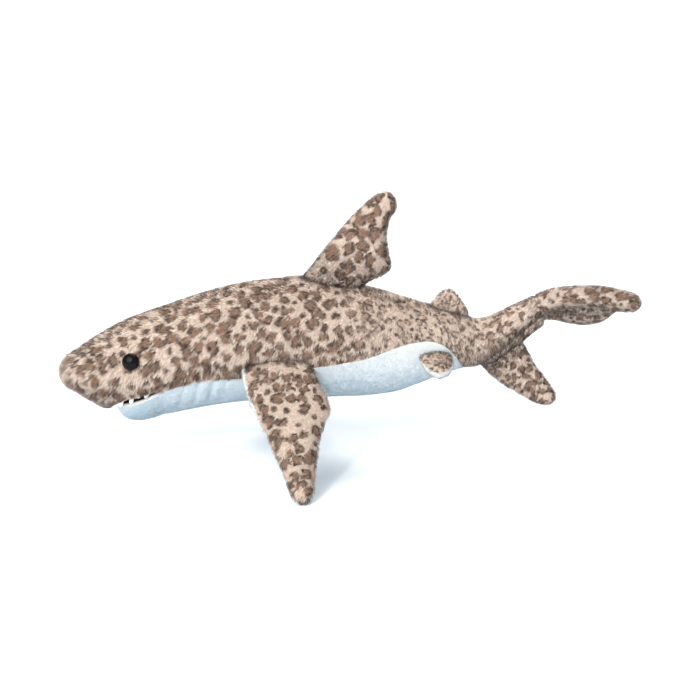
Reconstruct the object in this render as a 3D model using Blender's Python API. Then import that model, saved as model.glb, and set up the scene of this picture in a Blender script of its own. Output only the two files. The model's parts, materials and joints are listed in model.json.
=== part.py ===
"""A stuffed fabric shark: sewn panels over fibre filling, plastic eyes and soft hinges at the seams.

Frame: metres, +Z up, nose towards -X, tail towards +X, the left side towards -Y. The origin is the
bottom centre of the whole shark, level with the pectoral fins' tips. Every panel is a shell as thick
as the pile fabric, and each filling is a solid a small gap inside its panels. A part that moves has a
rounded root centred on its hinge line, where the real seam bends.
"""

import math

import bmesh
import bpy
from mathutils import Matrix, Vector

MM = 0.001
GAP = 0.3 * MM
FABRIC = 2.5 * MM
FILL_GAP = 1.0 * MM
FELT = 1.0 * MM
RING_POINTS = 20
FAR = 600 * MM
# Heights below are drawn from a line this far under the pectoral fins' tips.
DRAWING_BASE = 9.94 * MM

# Body stations in millimetres: x, height of the centre line, half height, half width.
BODY = (
    (-219.0, 79.5, 0.0, 0.0),
    (-217.2, 79.5, 6.5, 6.5),
    (-213.5, 79.3, 11.5, 11.5),
    (-206.5, 79.6, 15.8, 16.0),
    (-196.5, 80.0, 22.5, 22.5),
    (-186.0, 80.6, 28.4, 27.0),
    (-176.5, 83.6, 31.0, 29.8),
    (-174.0, 80.0, 36.0, 30.2),
    (-166.0, 80.6, 39.2, 32.0),
    (-148.5, 85.4, 40.9, 35.2),
    (-124.5, 92.0, 42.8, 38.0),
    (-100.5, 98.2, 44.3, 40.0),
    (-76.5, 102.4, 45.5, 41.0),
    (-52.5, 104.8, 46.2, 41.0),
    (-34.5, 105.9, 46.6, 40.5),
    (-10.5, 104.4, 44.3, 38.5),
    (19.5, 102.4, 40.9, 34.0),
    (37.5, 101.3, 36.7, 30.0),
    (55.5, 102.1, 30.7, 25.0),
    (73.5, 103.4, 24.8, 20.0),
    (85.5, 103.0, 21.2, 17.0),
)
# The tail's tube: x, height, half height, half width and the slope of its centre line in degrees.
TAIL = (
    (97.0, 102.4, 18.4, 14.6, 8.0),
    (108.0, 107.6, 16.0, 13.4, 28.0),
    (118.0, 114.6, 13.2, 12.0, 36.0),
    (127.9, 121.8, 11.3, 10.8, 35.0),
    (139.0, 129.0, 9.4, 9.4, 29.0),
    (150.0, 134.0, 8.4, 8.8, 18.0),
)
# Belly panel outline on the body's side: x, z.
BELLY_SEAM = (
    (-138, 72.5), (-112, 82), (-79, 84.5), (-45, 90), (-15, 94.5), (12, 99), (37, 107),
    (50, 109), (62, 106), (72, 97), (80, 84),
)
BELLY_END_X = 82 * MM
# The belly flattens where it rests.
BELLY_FLAT_Z = 62.6 * MM
BELLY_FLAT_X = (-55 * MM, 20 * MM)

# Mouth, seen from the side: the corner is the jaw's hinge line.
JAW_AXIS = Vector((-138, 0, 72.5)) * MM
PALATE_FRONT = Vector((-176.6, 0, 60.4)) * MM
JAW_FRONT = Vector((-174.6, 0, 54.6)) * MM
LIP_GAP = 1.5 * MM
JAW_SHRINK = 2.0 * MM
JAW_CUT_DEPTH = 60 * MM
THROAT_GAP_FRONT = math.radians(-10)
THROAT_GAP_BACK = math.radians(10)
TOOTH_COUNT = 4
TOOTH_PITCH = 6.6 * MM
TOOTH_DROP = 4.6 * MM
TOOTH_START = 0.09
TOOTH_BAND = 0.9 * MM
TOOTH_INSET = 0.2 * MM
TEETH_APART = 6 * MM

# Tail hinge, upright, and the half angle that its socket leaves room for.
TAIL_AXIS_X = 104 * MM
TAIL_NOSE = 14.8 * MM
TAIL_SWING = math.radians(28)
LOBE_AXIS = Vector((141.5, 0, 130.2)) * MM
LOBE_SLOPE = math.radians(28)
LOBE_SOCKET = 9.6 * MM

EYE_CENTRE_X = -162.4 * MM
EYE_ANGLE = math.radians(20.5)
EYE_RADIUS = 6.5 * MM
EYE_HEIGHT = 4.6 * MM
EYE_SEAT = 1.7 * MM
HEAD_TAPER = 0.19
SHANK_RADIUS = 2.3 * MM
SHANK_LENGTH = 13 * MM
RIB_COUNT = 5
WASHER_RADIUS = 7.2 * MM
WASHER_THICKNESS = 1.4 * MM
WASHER_SINK = 1.4 * MM

LEOPARD = ((0.62, 0.50, 0.41), 0.95)
WHITE = ((0.86, 0.87, 0.86), 0.95)
FIBRE = ((0.93, 0.93, 0.91), 1.0)
LINING = ((0.07, 0.045, 0.045), 0.9)
FELT_WHITE = ((0.88, 0.88, 0.86), 0.9)
EYE_BLACK = ((0.008, 0.008, 0.01), 0.06)
WASHER_NATURAL = ((0.78, 0.78, 0.76), 0.4)


def clear_scene():
    for obj in list(bpy.data.objects):
        bpy.data.objects.remove(obj, do_unlink=True)


def dress(obj, look):
    """Gives the object its own material from a (colour, roughness) pair."""
    colour, roughness = look
    material = bpy.data.materials.new(obj.name)
    material.use_nodes = True
    shader = material.node_tree.nodes["Principled BSDF"]
    shader.inputs["Base Color"].default_value = (*colour, 1)
    shader.inputs["Roughness"].default_value = roughness
    shader.inputs["Metallic"].default_value = 0
    obj.data.materials.clear()
    obj.data.materials.append(material)


def mesh_object(name, bm, smooth=True):
    """Welds the mesh's collapsed edges, turns its faces outward and links it as an object."""
    bmesh.ops.remove_doubles(bm, verts=bm.verts, dist=2e-6)
    bmesh.ops.recalc_face_normals(bm, faces=bm.faces)
    if bm.calc_volume(signed=True) < 0:
        bmesh.ops.reverse_faces(bm, faces=bm.faces)
    mesh = bpy.data.meshes.new(name)
    bm.to_mesh(mesh)
    bm.free()
    if smooth:
        mesh.shade_smooth()
        mesh.set_sharp_from_angle(angle=math.radians(35))
    obj = bpy.data.objects.new(name, mesh)
    bpy.context.scene.collection.objects.link(obj)
    return obj


def helper(obj):
    obj.hide_render = True
    obj.display_type = "WIRE"
    return obj


def boolean(obj, operation, *others):
    for other in others:
        step = obj.modifiers.new(other.name, "BOOLEAN")
        step.operation = operation
        step.solver = "EXACT"
        step.object = other


def hinge_at(obj, pivot):
    """Puts the object's origin on its hinge line and leaves its shape where it is."""
    obj.data.transform(Matrix.Translation(-pivot))
    obj.location = pivot


def loft(name, rings):
    """A closed solid through rings of equally many points, with flat ends.

    Each strip is cut into triangles the same way at every inset, and mirrored left to right, so
    that a skin and what is inside it never cross.
    """
    bm = bmesh.new()
    rows = [[bm.verts.new(p) for p in ring] for ring in rings]
    for low, high in zip(rows, rows[1:]):
        for i in range(len(low)):
            j = (i + 1) % len(low)
            if low[i].co.y + low[j].co.y < 0:
                triangles = ((low[i], low[j], high[j]), (low[i], high[j], high[i]))
            else:
                triangles = ((low[i], low[j], high[i]), (low[j], high[j], high[i]))
            for triangle in triangles:
                bm.faces.new(triangle)
    bm.faces.new(rows[0])
    bm.faces.new(rows[-1])
    return mesh_object(name, bm)


def prism(name, outline, axis, low=-FAR, high=FAR):
    """Extrudes an outline along Y or Z; its points are (x, z) for Y and (x, y) for Z."""
    bm = bmesh.new()
    if axis == "Y":
        ends = [[bm.verts.new((a, side, b)) for a, b in outline] for side in (low, high)]
    else:
        ends = [[bm.verts.new((a, b, side)) for a, b in outline] for side in (low, high)]
    count = len(outline)
    for i in range(count):
        j = (i + 1) % count
        bm.faces.new((ends[0][i], ends[0][j], ends[1][j], ends[1][i]))
    bm.faces.new(ends[0])
    bm.faces.new(ends[1])
    return helper(mesh_object(name, bm, smooth=False))


# Body ---------------------------------------------------------------------------------------------


def ring(x, z, half_height, half_width, slope=0.0, floor=0.0):
    """One cross-section, square to a centre line that climbs by slope, and flat at the floor."""
    points = []
    for i in range(RING_POINTS):
        angle = 2 * math.pi * i / RING_POINTS
        up = half_height * math.sin(angle)
        side = half_width * math.cos(angle)
        point = Vector((x - up * math.sin(slope), side, z + up * math.cos(slope)))
        point.z = max(point.z, floor)
        points.append(point)
    return points


def body_solid(name, inset, tail_inset):
    """The whole body and tail tube, with its skin taken off by the inset."""
    rings = []
    for x, z, high, wide in BODY:
        high = max(high * MM - inset, 0)
        wide = max(wide * MM - inset, 0)
        rests = BELLY_FLAT_X[0] < x * MM < BELLY_FLAT_X[1]
        floor = BELLY_FLAT_Z + inset if rests else 0.0
        if high > 0 and wide > 0:
            rings.append(ring(x * MM, z * MM, high, wide, floor=floor))
    if inset == 0:
        tip_x, tip_z = BODY[0][0] * MM, BODY[0][1] * MM
        rings.insert(0, ring(tip_x, tip_z, GAP, GAP))
    for x, z, high, wide, slope in TAIL:
        high = high * MM - tail_inset
        wide = wide * MM - tail_inset
        rings.append(ring(x * MM, z * MM, high, wide, slope=math.radians(slope)))
    return helper(loft(name, rings))


def half_space(name, side):
    """Everything on one side of the middle seam."""
    low, high = (-FAR, -GAP / 2) if side < 0 else (GAP / 2, FAR)
    square = [(-FAR, -FAR), (FAR, -FAR), (FAR, FAR), (-FAR, FAR)]
    return prism(name, square, "Y", low, high)


def belly_region(name, shift):
    """The belly panel's outline, moved up and back by shift to leave a gap at its seam."""
    seam = [(x * MM + shift, z * MM + shift) for x, z in BELLY_SEAM]
    front = BELLY_SEAM[0][0] * MM - shift
    return prism(name, [(front, seam[0][1]), *seam, (BELLY_END_X + shift, 0), (front, 0)], "Y")


def jaw_outline(top_front, top_drop, back_angle):
    """The lower jaw's side outline, below a line from the mouth's corner to the front."""
    corner = JAW_AXIS - Vector((0, 0, top_drop))
    reach = JAW_CUT_DEPTH
    back = (corner.x + reach * math.sin(back_angle), corner.z - reach * math.cos(back_angle))
    return [(top_front.x, top_front.z), (corner.x, corner.z), back, (top_front.x, back[1])]


def behind(name, x):
    """Everything further back than x."""
    return prism(name, [(x, -FAR), (FAR, -FAR), (FAR, FAR), (x, FAR)], "Y")


def tail_outline(radius, flare):
    """A plan outline: a half circle about the tail's hinge, open behind as wide as flare."""
    sweep = math.pi / 2 - (TAIL_SWING if flare > radius else 0)
    steps = 16
    arc = []
    for i in range(steps + 1):
        angle = math.pi - sweep + 2 * sweep * i / steps
        arc.append((TAIL_AXIS_X + radius * math.cos(angle), radius * math.sin(angle)))
    return [(FAR, flare), (arc[0][0], flare), *arc, (arc[-1][0], -flare), (FAR, -flare)]


def lobe_cut(name, offset):
    """Everything past the upper lobe's hinge, square to the tube there."""
    along = Vector((math.cos(LOBE_SLOPE), 0, math.sin(LOBE_SLOPE)))
    across = Vector((-along.z, 0, along.x)) * 200 * MM
    start = LOBE_AXIS + along * offset
    end = start + along * 200 * MM
    corners = [start + across, end + across, end - across, start - across]
    return prism(name, [(c.x, c.z) for c in corners], "Y")


def part_of(name, solid, look, keep=(), cut=()):
    """A node made from a copy of a solid, kept inside some regions and cut by others."""
    obj = bpy.data.objects.new(name, solid.data.copy())
    bpy.context.scene.collection.objects.link(obj)
    boolean(obj, "INTERSECT", *keep)
    boolean(obj, "DIFFERENCE", *cut)
    dress(obj, look)
    return obj


def eye_frame(side):
    """The eye's place on the skin and its outward direction."""
    x, z, high, wide = next(row for row in BODY if row[0] * MM > EYE_CENTRE_X - 4 * MM)
    up = high * math.sin(EYE_ANGLE) * MM
    out = wide * math.cos(EYE_ANGLE) * MM
    normal = Vector((0, side * out / (wide * MM) ** 2, up / (high * MM) ** 2))
    normal.x = -HEAD_TAPER * normal.length
    normal.normalize()
    return Vector((EYE_CENTRE_X, side * out, z * MM + up)), normal


def turned(name, profile, place, direction, segments=20):
    """Spins a (radius, height) profile about the direction through place."""
    bm = bmesh.new()
    rows = []
    for radius, height in profile:
        row = []
        for i in range(segments):
            angle = 2 * math.pi * i / segments
            row.append(bm.verts.new((radius * math.cos(angle), radius * math.sin(angle), height)))
        rows.append(row)
    for low, high in zip(rows, rows[1:]):
        for i in range(segments):
            j = (i + 1) % segments
            bm.faces.new((low[i], low[j], high[j], high[i]))
    if profile[0] != profile[-1]:
        bm.faces.new(rows[0])
        bm.faces.new(rows[-1])
    turn = direction.to_track_quat("Z", "Y").to_matrix().to_4x4()
    bmesh.ops.transform(bm, matrix=Matrix.Translation(place) @ turn, verts=bm.verts)
    return mesh_object(name, bm)


def eye_profile():
    """Dome, flat back, then the shank with its ribs, as (radius, height) from the dome's top."""
    dome = []
    for i in range(5):
        angle = math.pi / 2 * i / 5
        radius = max(EYE_RADIUS * math.sin(angle), 0.05 * MM)
        dome.append((radius, EYE_HEIGHT * math.cos(angle)))
    dome += [(EYE_RADIUS, 0.0), (SHANK_RADIUS, 0.0)]
    pitch = SHANK_LENGTH / (RIB_COUNT + 2)
    for i in range(RIB_COUNT):
        height = -pitch * (i + 1.5)
        dome += [(SHANK_RADIUS, height + 0.3 * pitch), (SHANK_RADIUS * 0.82, height)]
    return dome + [(SHANK_RADIUS * 0.6, -SHANK_LENGTH)]


def make_eye(side, name):
    """An eye, its lock washer and the cutter that makes room for both."""
    skin, normal = eye_frame(side)
    seat = skin + normal * EYE_SEAT
    eye = turned(f"eye_{name}", eye_profile(), seat, normal)
    dress(eye, EYE_BLACK)
    depth = -FABRIC - EYE_SEAT - WASHER_SINK
    hole = SHANK_RADIUS + GAP
    washer_profile = [
        (hole, depth),
        (WASHER_RADIUS, depth),
        (WASHER_RADIUS, depth - WASHER_THICKNESS),
        (hole, depth - WASHER_THICKNESS),
        (hole, depth),
    ]
    washer = turned(f"eye_washer_{name}", washer_profile, seat, normal)
    dress(washer, WASHER_NATURAL)
    hole_profile = [(hole, 20 * MM), (hole, -30 * MM)]
    pocket_profile = [
        (WASHER_RADIUS + GAP, 0.0),
        (WASHER_RADIUS + GAP, depth - WASHER_THICKNESS - GAP),
        (hole + GAP, depth - WASHER_THICKNESS - GAP),
        (hole + GAP, -SHANK_LENGTH - 2 * GAP),
    ]
    shank_hole = helper(turned(f"eye_hole_{name}", hole_profile, seat, normal))
    pocket = helper(turned(f"eye_pocket_{name}", pocket_profile, seat, normal))
    return shank_hole, pocket


def make_body():
    outer = body_solid("body_outer", 0, 0)
    inner = body_solid("body_inner", FABRIC, FABRIC)
    core = body_solid("body_core", FABRIC + GAP, FABRIC + GAP)
    left = half_space("left_half", -1)
    right = half_space("right_half", 1)
    belly = belly_region("belly_region", 0)
    belly_clear = belly_region("belly_clear", GAP)
    mouth = prism("mouth_cut", jaw_outline(PALATE_FRONT, -LIP_GAP, THROAT_GAP_BACK), "Y")
    palate_clear = PALATE_FRONT + Vector((-GAP, 0, FELT + GAP))
    deep_outline = jaw_outline(palate_clear, -LIP_GAP - FELT - GAP, THROAT_GAP_BACK)
    mouth_deep = prism("mouth_deep_cut", deep_outline, "Y")
    trunk_end = prism("trunk_end", tail_outline(TAIL_NOSE + 2 * GAP, FAR), "Z")
    tail_region = prism("tail_region", tail_outline(TAIL_NOSE, TAIL_NOSE), "Z")
    lobe_end = lobe_cut("lobe_end", -LOBE_SOCKET)
    eyes = [make_eye(-1, "left"), make_eye(1, "right")]

    for side, half, eye in ((-1, left, eyes[0]), (1, right, eyes[1])):
        name = "left" if side < 0 else "right"
        part_of(
            f"back_panel_{name}",
            outer,
            LEOPARD,
            keep=[half],
            cut=[trunk_end, inner, belly_clear, mouth, eye[0]],
        )
        tail = part_of(
            f"tail_panel_{name}", outer, LEOPARD, keep=[half, tail_region], cut=[inner, lobe_end]
        )
        hinge_at(tail, Vector((TAIL_AXIS_X, 0, 0)))
    part_of("belly_panel", outer, WHITE, keep=[belly], cut=[inner, mouth, trunk_end])
    part_of("body_stuffing", core, FIBRE, cut=[mouth_deep, trunk_end, eyes[0][1], eyes[1][1]])
    filling = part_of("tail_stuffing", core, FIBRE, keep=[tail_region], cut=[lobe_end])
    hinge_at(filling, Vector((TAIL_AXIS_X, 0, 0)))
    make_mouth(core)


def make_mouth(core):
    """Palate and floor linings, felt teeth along the lip, and the stuffed lower jaw."""
    front, back = PALATE_FRONT, JAW_AXIS + Vector((0, 0, LIP_GAP))
    roof = [(front.x, front.z), (back.x, back.z), (back.x, back.z + FELT), (front.x, front.z + FELT)]
    part_of("palate_lining", core, LINING, keep=[prism("palate_slab", roof, "Y")])

    jaw_outer = body_solid("jaw_outer", JAW_SHRINK, FABRIC)
    jaw_inner = body_solid("jaw_inner", JAW_SHRINK + FABRIC, FABRIC)
    jaw_core = body_solid("jaw_core", JAW_SHRINK + FABRIC + GAP, FABRIC)
    boolean(jaw_inner, "INTERSECT", behind("jaw_hollow", JAW_FRONT.x + FABRIC))
    chin = behind("jaw_filling", JAW_FRONT.x + FABRIC + GAP)
    regions = []
    for name, sink in (("jaw_region", 0), ("jaw_deep", FELT), ("jaw_deeper", FELT + GAP)):
        front = JAW_FRONT - Vector((0, 0, sink))
        regions.append(prism(name, jaw_outline(front, LIP_GAP + sink, THROAT_GAP_FRONT), "Y"))
    region, deep, deeper = regions
    parts = [
        part_of("jaw_panel", jaw_outer, WHITE, keep=[region], cut=[jaw_inner]),
        part_of("mouth_floor_lining", jaw_core, LINING, keep=[region, chin], cut=[deep]),
        part_of("jaw_stuffing", jaw_core, FIBRE, keep=[deeper, chin]),
    ]
    for obj in parts:
        hinge_at(obj, JAW_AXIS)

    tooth_outer = body_solid("tooth_outer", TOOTH_INSET, FABRIC)
    tooth_inner = body_solid("tooth_inner", TOOTH_INSET + FELT, FABRIC)
    row = prism("tooth_row", tooth_outline(), "Y")
    for side, name in ((-1, "left"), (1, "right")):
        low, high = (-FAR, -TEETH_APART) if side < 0 else (TEETH_APART, FAR)
        square = [(-FAR, -FAR), (FAR, -FAR), (FAR, FAR), (-FAR, FAR)]
        half = prism(f"tooth_side_{name}", square, "Y", low, high)
        part_of(f"felt_teeth_{name}", tooth_outer, FELT_WHITE, keep=[row, half], cut=[tooth_inner])


def tooth_outline():
    """A band along the lip with pointed teeth hanging from it, seen from the side."""
    front = PALATE_FRONT + Vector((0, 0, -GAP))
    back = JAW_AXIS + Vector((0, 0, LIP_GAP - GAP))
    along = (back - front).normalized()
    down = Vector((along.z, 0, -along.x))
    start = front + along * (back - front).length * TOOTH_START
    end = start + along * TOOTH_PITCH * TOOTH_COUNT
    points = [start, end]
    for i in range(TOOTH_COUNT, 0, -1):
        root = start + along * TOOTH_PITCH * i + down * TOOTH_BAND
        tip = start + along * TOOTH_PITCH * (i - 0.5) + down * TOOTH_DROP
        points += [root, tip]
    points.append(start + down * TOOTH_BAND)
    return [(p.x, p.z) for p in points]


# Fins ---------------------------------------------------------------------------------------------


def curve_point(points, t):
    """A point on a smooth curve through the points, with t from 0 to 1 along it."""
    lengths = [0.0]
    for a, b in zip(points, points[1:]):
        lengths.append(lengths[-1] + (b - a).length)
    goal = min(max(t, 0), 1) * lengths[-1]
    i = max(k for k in range(len(points) - 1) if lengths[k] <= goal + 1e-12)
    u = (goal - lengths[i]) / (lengths[i + 1] - lengths[i])
    before = points[i - 1] if i > 0 else 2 * points[0] - points[1]
    after = points[i + 2] if i + 2 < len(points) else 2 * points[-1] - points[-2]
    p, q = points[i], points[i + 1]
    m0 = (q - before) / 2
    m1 = (after - p) / 2
    cubic = (2 * u**3 - 3 * u**2 + 1) * p + (u**3 - 2 * u**2 + u) * m0
    return cubic + (3 * u**2 - 2 * u**3) * q + (u**3 - u**2) * m1


class Fin:
    """A sewn fin between a leading and a trailing edge that meet at its tip.

    Its root is a rounded nose centred on the hinge line, and its thickness falls to nothing along
    both edges and round the tip, as on two panels sewn together and filled.
    """

    def __init__(self, lead, trail, normal, thickness, tip_round, bias=0.0):
        self.lead = [Vector(p) * MM for p in lead]
        self.trail = [Vector(p) * MM for p in trail]
        self.normal = Vector(normal).normalized()
        self.root, self.end = (t * MM / 2 for t in thickness)
        self.tip_round = tip_round
        self.bias = bias
        middle = (self.lead[0] + self.trail[0]) / 2
        self.span = ((self.lead[-1] + self.trail[-1]) / 2 - middle).length

    def pivot(self):
        t = self.root / self.span
        return (curve_point(self.lead, t) + curve_point(self.trail, t)) / 2

    def stations(self, inset, rows):
        """(place along the span, half thickness) from the root to the tip."""
        nose = self.root - inset
        places = []
        for k in range(3):
            angle = math.pi / 2 * k / 2
            s = inset + nose * (1 - math.cos(angle))
            places.append((s / self.span, nose * math.sin(angle)))
        last = 1 - inset / self.span
        first = self.root / self.span
        for k in range(1, rows + 1):
            t = first + (last - first) * (1 - (1 - k / rows) ** 1.35)
            flat = self.root + (self.end - self.root) * (t - first) / (1 - first)
            start = 1 - self.tip_round
            over = max(0.0, (t - start) / (last - start)) if last > start else 0.0
            half = max(flat - inset, 0.2 * MM) * math.sqrt(max(1 - over**2, 0))
            places.append((t, half))
        return places

    def grid(self, inset, rows, columns, lift):
        """Rows of (middle point, height above the middle) across the fin."""
        out = []
        for t, half in self.stations(inset, rows):
            a, b = curve_point(self.lead, t), curve_point(self.trail, t)
            width = (b - a).length
            trim = min(inset / width, 0.4) if width > 0 else 0
            row = []
            for j in range(columns):
                angle = math.pi * j / (columns - 1)
                q = trim + (1 - 2 * trim) * (1 - math.cos(angle)) / 2
                height = half * math.sin(angle) * (1 - self.bias * q)
                row.append((a.lerp(b, q), height + lift))
            out.append(row)
        return out


def dish(name, fin, side, inset, rows, columns, solid):
    """One panel of a fin: a shallow dish, or a solid half where the fin has no filling."""
    bm = bmesh.new()
    lift = GAP / 2

    def row_verts(cells):
        return [bm.verts.new(p + fin.normal * side * h) for p, h in cells]

    outer = [row_verts(cells) for cells in fin.grid(0, rows, columns, lift)]
    if solid:
        inner = [row_verts([(p, lift) for p, _ in c]) for c in fin.grid(0, rows, columns, lift)]
    else:
        inner = [row_verts(cells) for cells in fin.grid(inset, rows, columns, lift)]
    for k in range(len(outer) - 1):
        for j in range(columns - 1):
            a, b = outer[k], outer[k + 1]
            bm.faces.new((a[j], a[j + 1], b[j + 1], b[j]))
            a, b = inner[k], inner[k + 1]
            bm.faces.new((a[j], b[j], b[j + 1], a[j + 1]))
    rim_out = outer[0] + [r[-1] for r in outer[1:]] + outer[-1][-2::-1] + [r[0] for r in outer[-2:0:-1]]
    rim_in = inner[0] + [r[-1] for r in inner[1:]] + inner[-1][-2::-1] + [r[0] for r in inner[-2:0:-1]]
    if not solid:
        for i in range(len(rim_out)):
            j = (i + 1) % len(rim_out)
            bm.faces.new((rim_out[i], rim_in[i], rim_in[j], rim_out[j]))
    return mesh_object(name, bm)


def filling(name, fin, rows, columns):
    """The fibre inside a fin, a gap away from both panels."""
    bm = bmesh.new()
    cells = fin.grid(FABRIC + FILL_GAP, rows, columns, 0)
    loops = []
    for row in cells:
        top = [bm.verts.new(p + fin.normal * h) for p, h in row]
        bottom = [bm.verts.new(p - fin.normal * h) for p, h in row[1:-1]]
        loops.append(top + bottom[::-1])
    for low, high in zip(loops, loops[1:]):
        for i in range(len(low)):
            j = (i + 1) % len(low)
            bm.faces.new((low[i], low[j], high[j], high[i]))
    return mesh_object(name, bm)


def make_fin(fin, near, far, looks, stuffing=None, rows=5, columns=5):
    """The two panels of a fin and, where it is stuffed, its filling, all hinged at its root."""
    made = []
    for name, side, look in ((near, 1, looks[0]), (far, -1, looks[1])):
        obj = dish(name, fin, side, FABRIC, rows, columns, stuffing is None)
        dress(obj, look)
        made.append(obj)
    if stuffing:
        obj = filling(stuffing, fin, rows, columns)
        dress(obj, FIBRE)
        made.append(obj)
    for obj in made:
        hinge_at(obj, fin.pivot())


def mirrored(points, side):
    return [(x, -side * y, z) for x, y, z in points]


def make_pectorals():
    """The pectoral fins droop at 45 degrees, leopard above and white below."""
    droop = math.radians(45)
    root_y, root_z = -42.6, 85.0

    def place(x, span, rise=0.0):
        return (x, root_y - span * math.cos(droop), root_z + rise - span * math.sin(droop))

    lead = [place(-76, 0, -1), place(-70.5, 19), place(-66, 36), place(-57, 59), place(-46.5, 84),
            place(-41.5, 98.5), place(-38, 104), place(-33, 106)]
    trail = [place(-35, 0, 4), place(-18.5, 19), place(-19, 36), place(-23, 59), place(-25.5, 84),
             place(-26.5, 97.5), place(-28.5, 103.5), place(-33, 106)]
    for side, name in ((-1, "left"), (1, "right")):
        normal = (0, side * math.sin(droop), math.cos(droop))
        fin = Fin(mirrored(lead, side), mirrored(trail, side), normal, (15, 9), 0.1)
        make_fin(
            fin,
            f"pectoral_top_{name}",
            f"pectoral_under_{name}",
            (LEOPARD, WHITE),
            f"pectoral_stuffing_{name}",
        )


def make_pelvics():
    """The pelvic fins: small, unfilled, leopard above and white below."""
    droop = math.radians(30)
    root_x, root_y, root_z, toe_in = 53, -26.4, 95.0, 0.2

    def place(x, span):
        out = root_y + toe_in * (x - root_x) - span * math.cos(droop)
        return (x, out, root_z - span * math.sin(droop))

    lead = [place(53, 0), place(53.5, 6), place(57.5, 12), place(62, 16.5), place(67, 18)]
    trail = [place(75, 0), place(76.5, 6), place(76, 12), place(72.5, 16.5), place(67, 18)]
    for side, name in ((-1, "left"), (1, "right")):
        normal = (0, side * math.sin(droop), math.cos(droop))
        fin = Fin(mirrored(lead, side), mirrored(trail, side), normal, (6, 5), 0.35)
        make_fin(fin, f"pelvic_top_{name}", f"pelvic_under_{name}", (LEOPARD, WHITE), rows=4)


def make_dorsals():
    lead = [(-33, 0, 153.4), (-15, 0, 168), (1, 0, 186), (16, 0, 204.5), (21, 0, 211.5), (27.5, 0, 215)]
    trail = [(14, 0, 146.4), (29.5, 0, 160), (27.5, 0, 177), (30, 0, 195), (33.5, 0, 206.5), (27.5, 0, 215)]
    fin = Fin(lead, trail, (0, -1, 0), (15, 10), 0.12)
    make_fin(
        fin, "dorsal_panel_left", "dorsal_panel_right", (LEOPARD, LEOPARD), "dorsal_stuffing"
    )
    lead = [(60.5, 0, 132.6), (65, 0, 138), (70, 0, 141), (76.5, 0, 141.6)]
    trail = [(89, 0, 124.4), (90.5, 0, 127.5), (84, 0, 133), (76.5, 0, 141.6)]
    fin = Fin(lead, trail, (0, -1, 0), (7, 6), 0.4)
    make_fin(
        fin, "second_dorsal_panel_left", "second_dorsal_panel_right", (LEOPARD, LEOPARD), rows=4
    )


def make_caudal():
    """Upper lobe, rolled so that its web hangs away behind the tube, and the lower lobe."""
    roll = math.radians(47)

    def hang(x, z, chord):
        return (x, chord * math.cos(roll), z - chord * math.sin(roll))

    lead = [(137, -3, 138.5), (150, -5.5, 143), (165, -6, 144.6), (185, -6, 144.2), (203, -4, 140.5),
            (214, -2, 136), (219, 0, 131.5)]
    trail = [hang(141, 123, 9), hang(150, 129, 18), hang(165, 131, 27), hang(182, 131, 30),
             hang(196, 128.5, 13), hang(211, 128, 2), (219, 0, 131.5)]
    normal = Vector((0, -math.sin(roll), -math.cos(roll)))
    fin = Fin(lead, trail, -normal, (15, 12), 0.08, bias=0.45)
    make_fin(
        fin, "upper_lobe_panel_right", "upper_lobe_panel_left", (LEOPARD, LEOPARD), "upper_lobe_stuffing"
    )
    lead = [(101, 0, 80), (112, 0, 71.8), (127, 0, 62.8), (139, 0, 56), (147, 0, 53.8), (154, 0, 56.5)]
    trail = [(132, 0, 102), (135, 0, 90), (142, 0, 80), (149, 0, 70), (154.5, 0, 62), (154, 0, 56.5)]
    fin = Fin(lead, trail, (0, -1, 0), (11, 9), 0.12)
    make_fin(
        fin, "lower_lobe_panel_left", "lower_lobe_panel_right", (LEOPARD, LEOPARD), "lower_lobe_stuffing"
    )


def main():
    clear_scene()
    make_body()
    make_pectorals()
    make_pelvics()
    make_dorsals()
    make_caudal()
    for obj in bpy.data.objects:
        obj.location.z -= DRAWING_BASE


main()
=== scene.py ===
"""Looks for a stuffed leopard-print shark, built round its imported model.

Each sewn form is a surface that cloth simulation fills out, and its pile is modelled strand by
strand. Heights in the tables are in millimetres above the line that the model was drawn from, which
lies BASE under the floor. The left side is towards -Y.
"""

import contextlib
import itertools
import json
import math

import bmesh
import bpy
import numpy as np
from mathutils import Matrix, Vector
from mathutils.bvhtree import BVHTree
from mathutils.kdtree import KDTree


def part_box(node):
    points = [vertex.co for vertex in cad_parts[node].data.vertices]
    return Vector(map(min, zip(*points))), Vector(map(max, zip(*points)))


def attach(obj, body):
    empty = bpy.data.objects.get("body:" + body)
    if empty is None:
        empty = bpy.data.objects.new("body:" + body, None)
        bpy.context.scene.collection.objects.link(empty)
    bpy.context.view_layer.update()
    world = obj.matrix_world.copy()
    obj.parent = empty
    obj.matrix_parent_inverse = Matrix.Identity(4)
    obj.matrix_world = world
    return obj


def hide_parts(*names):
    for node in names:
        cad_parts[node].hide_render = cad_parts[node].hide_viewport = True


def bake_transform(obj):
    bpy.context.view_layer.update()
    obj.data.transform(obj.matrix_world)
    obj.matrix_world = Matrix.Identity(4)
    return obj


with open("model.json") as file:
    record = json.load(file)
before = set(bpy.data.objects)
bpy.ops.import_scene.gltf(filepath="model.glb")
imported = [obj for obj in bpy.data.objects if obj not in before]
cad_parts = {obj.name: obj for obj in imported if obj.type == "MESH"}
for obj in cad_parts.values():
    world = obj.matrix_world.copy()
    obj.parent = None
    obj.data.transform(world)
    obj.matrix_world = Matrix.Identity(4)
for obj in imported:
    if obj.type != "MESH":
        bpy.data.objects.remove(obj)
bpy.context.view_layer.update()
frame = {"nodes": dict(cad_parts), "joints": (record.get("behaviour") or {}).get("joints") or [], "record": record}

MM = 0.001
JOINTS = {joint["child"]: joint for joint in frame["joints"]}
BODIES = frame["record"]["behaviour"]["bodies"]
JAW_HINGE_HEIGHT = 72.5
BASE = JAW_HINGE_HEIGHT - JOINTS["lower_jaw"]["pos_m"][2] / MM

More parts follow.
